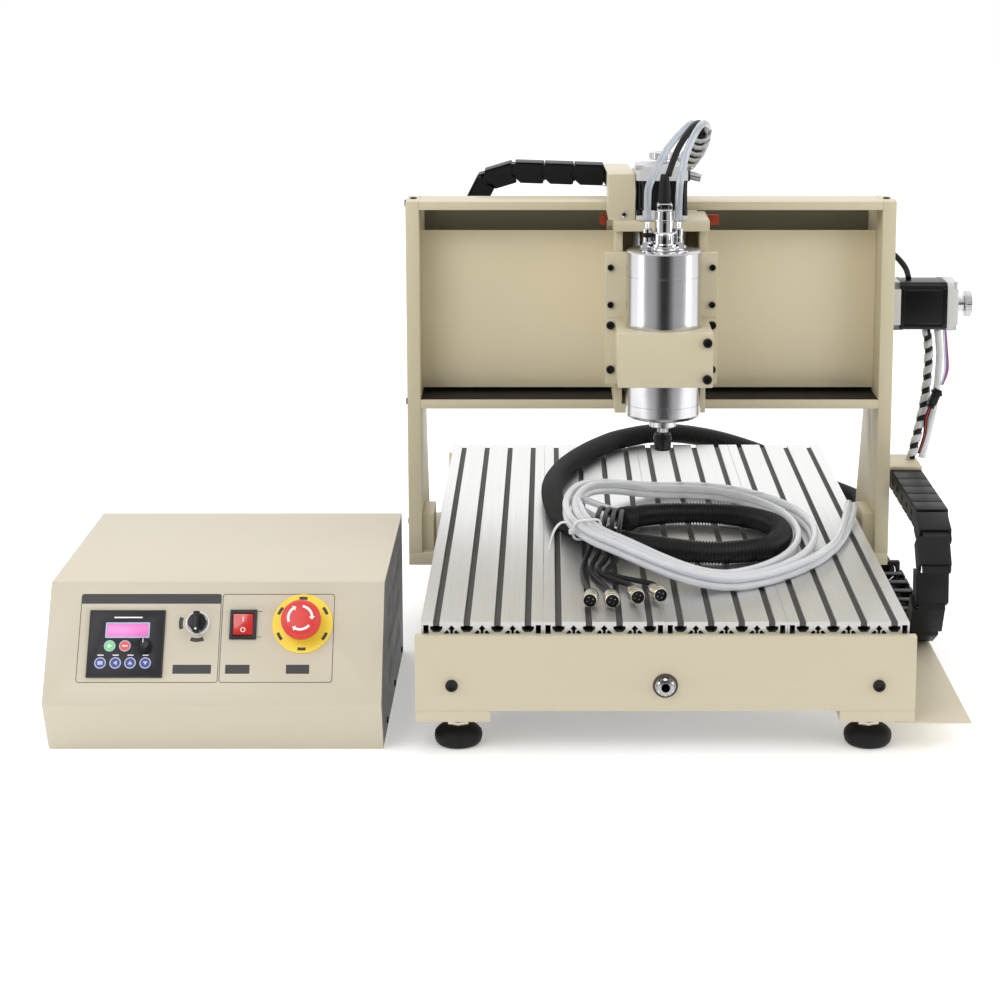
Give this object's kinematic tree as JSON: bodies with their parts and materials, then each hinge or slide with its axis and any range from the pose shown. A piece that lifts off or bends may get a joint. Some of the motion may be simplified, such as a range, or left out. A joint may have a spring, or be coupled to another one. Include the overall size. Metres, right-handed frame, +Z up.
{
  "type": "desktop gantry router with control box",
  "caption": "Desktop three-axis gantry router: slotted aluminium table, moving gantry, water-cooled spindle on a Z slide, drag chains, coiled hoses and a separate control box.",
  "frame": {"origin": "middle of the footprint of the machine and its control box, at floor level, without the loose cords", "axes": "+X to the right along the gantry, +Y to the back along the table, +Z up"},
  "size_m": [0.9904, 0.911, 0.6059],
  "materials": {
    "frame_paint": "satin beige paint",
    "table_aluminium": "extruded and lightly brushed",
    "ground_shaft": "ground and bright",
    "black_screws": "black oxide steel",
    "foot_rubber": "moulded black rubber with a steel stud",
    "motor_black": "black laminations between bright end bells",
    "chain_plastic": "moulded black nylon",
    "knob_aluminium": "turned and knurled",
    "gantry_paint": "satin beige paint",
    "block_aluminium": "machined",
    "wrapped_cable": "cables in clear spiral wrap",
    "head_paint": "satin beige paint",
    "spindle_steel": "turned stainless steel",
    "fitting_chrome": "bright plated",
    "hose_clear": "clear soft hose and black cable",
    "rotor_steel": "ground",
    "nut_black": "black oxide steel",
    "box_paint": "fine textured beige paint",
    "chassis_steel": "painted sheet steel",
    "drive_black": "black moulding with a printed film",
    "display_lens": "lit magenta window",
    "ring_silver": "satin plated",
    "switch_black": "black moulding",
    "stop_yellow": "yellow plate",
    "stop_red": "red moulding",
    "rocker_red": "translucent red lens",
    "conduit_black": "corrugated black nylon",
    "lead_black": "black PVC sheath",
    "plug_nickel": "nickel plated",
    "tube_clear": "clear soft hose"
  },
  "bodies": {
    "base": {"front_plate": "frame_paint", "back_plate": "frame_paint", "table_extrusions": "table_aluminium", "y_guide_rails": "ground_shaft", "frame_screws": "black_screws", "foot_plates": "frame_paint", "leveling_feet": "foot_rubber", "chain_tray": "frame_paint", "y_motor": "motor_black", "y_drag_chain": "chain_plastic", "controller_shell": "box_paint", "controller_chassis": "chassis_steel", "drive_keypad": "drive_black", "drive_display": "display_lens", "selector_ring": "ring_silver", "rocker_frame": "switch_black", "estop_disc": "stop_yellow", "controller_sockets": "ring_silver", "conduit": "conduit_black", "connector_leads": "lead_black", "aviation_plugs": "plug_nickel", "water_tubes": "tube_clear"},
    "y_screw": {"y_ball_screw": "ground_shaft", "y_handwheel": "knob_aluminium"},
    "gantry": {"side_plate_left": "gantry_paint", "side_plate_right": "gantry_paint", "lower_cross_plate": "gantry_paint", "y_bearing_blocks": "block_aluminium", "beam_top_plate": "gantry_paint", "beam_bottom_plate": "gantry_paint", "dust_panel": "gantry_paint", "rear_cover": "gantry_paint", "x_guide_rails": "ground_shaft", "x_motor": "motor_black", "y_chain_bracket": "gantry_paint", "x_drag_chain": "chain_plastic", "x_cable_bundle": "wrapped_cable", "gantry_screws": "black_screws"},
    "x_screw": {"x_ball_screw": "ground_shaft", "x_handwheel": "knob_aluminium"},
    "carriage": {"x_carriage": "block_aluminium", "z_frame": "head_paint", "z_top_cap": "head_paint", "z_guide_rails": "ground_shaft", "z_motor": "motor_black", "x_chain_bracket": "head_paint"},
    "z_screw": {"z_ball_screw": "ground_shaft", "z_handwheel": "knob_aluminium"},
    "head": {"z_carriage_plate": "head_paint", "spindle_clamp": "head_paint", "spindle_body": "spindle_steel", "spindle_fittings": "fitting_chrome", "head_screws": "black_screws", "hose_bundle": "hose_clear"},
    "rotor": {"spindle_shaft": "rotor_steel", "collet_nut": "nut_black"},
    "speed_dial": {"speed_knob": "switch_black"},
    "mode_selector": {"selector_knob": "switch_black"},
    "power_switch": {"power_rocker": "rocker_red"},
    "stop_button": {"estop_button": "stop_red"}
  },
  "joints": [
    {"name": "y_travel", "type": "slide", "parent": "base", "child": "gantry", "axis": [0, 1, 0], "range_m": [-0.37, 0.2], "deforming": ["y_drag_chain"]},
    {"name": "x_travel", "type": "slide", "parent": "gantry", "child": "carriage", "axis": [1, 0, 0], "range_m": [-0.203, 0.178], "deforming": ["x_drag_chain"]},
    {"name": "z_travel", "type": "slide", "parent": "carriage", "child": "head", "axis": [0, 0, 1], "range_m": [-0.05, 0.02], "deforming": ["hose_bundle"]},
    {"name": "y_screw_turn", "type": "hinge", "parent": "base", "child": "y_screw", "pos_m": [0.11675, -0.0475, 0.072], "axis": [0, 1, 0], "continuous": true},
    {"name": "x_screw_turn", "type": "hinge", "parent": "gantry", "child": "x_screw", "pos_m": [0.11675, 0.0445, 0.3715], "axis": [1, 0, 0], "continuous": true},
    {"name": "z_screw_turn", "type": "hinge", "parent": "carriage", "child": "z_screw", "pos_m": [0.12475, -0.1075, 0.4], "axis": [0, 0, 1], "continuous": true},
    {"name": "spindle_turn", "type": "hinge", "parent": "head", "child": "rotor", "pos_m": [0.12475, -0.1895, 0.3], "axis": [0, 0, 1], "continuous": true},
    {"name": "speed_dial_turn", "type": "hinge", "parent": "base", "child": "speed_dial", "pos_m": [-0.39825, -0.42121, 0.10373], "axis": [0, -0.8511, 0.525], "range_deg": [-270, 0]},
    {"name": "mode_selector_turn", "type": "hinge", "parent": "base", "child": "mode_selector", "pos_m": [-0.34675, -0.40893, 0.12364], "axis": [0, -0.8511, 0.525], "range_deg": [-90, 0]},
    {"name": "power_rocker_tip", "type": "hinge", "parent": "base", "child": "power_switch", "pos_m": [-0.3015, -0.40969, 0.12241], "axis": [1, 0, 0], "range_deg": [-16, 0]},
    {"name": "stop_button_press", "type": "slide", "parent": "base", "child": "stop_button", "axis": [0, 0.8511, -0.525], "range_m": [0, 0.004], "stiffness_N_per_m": 1500, "springref_m": -0.001}
  ],
  "couplings": [
    {"joint": "y_screw_turn", "follows": "y_travel", "rad_per_m": -1256.6},
    {"joint": "x_screw_turn", "follows": "x_travel", "rad_per_m": -1256.6},
    {"joint": "z_screw_turn", "follows": "z_travel", "rad_per_m": -1570.8}
  ]
}
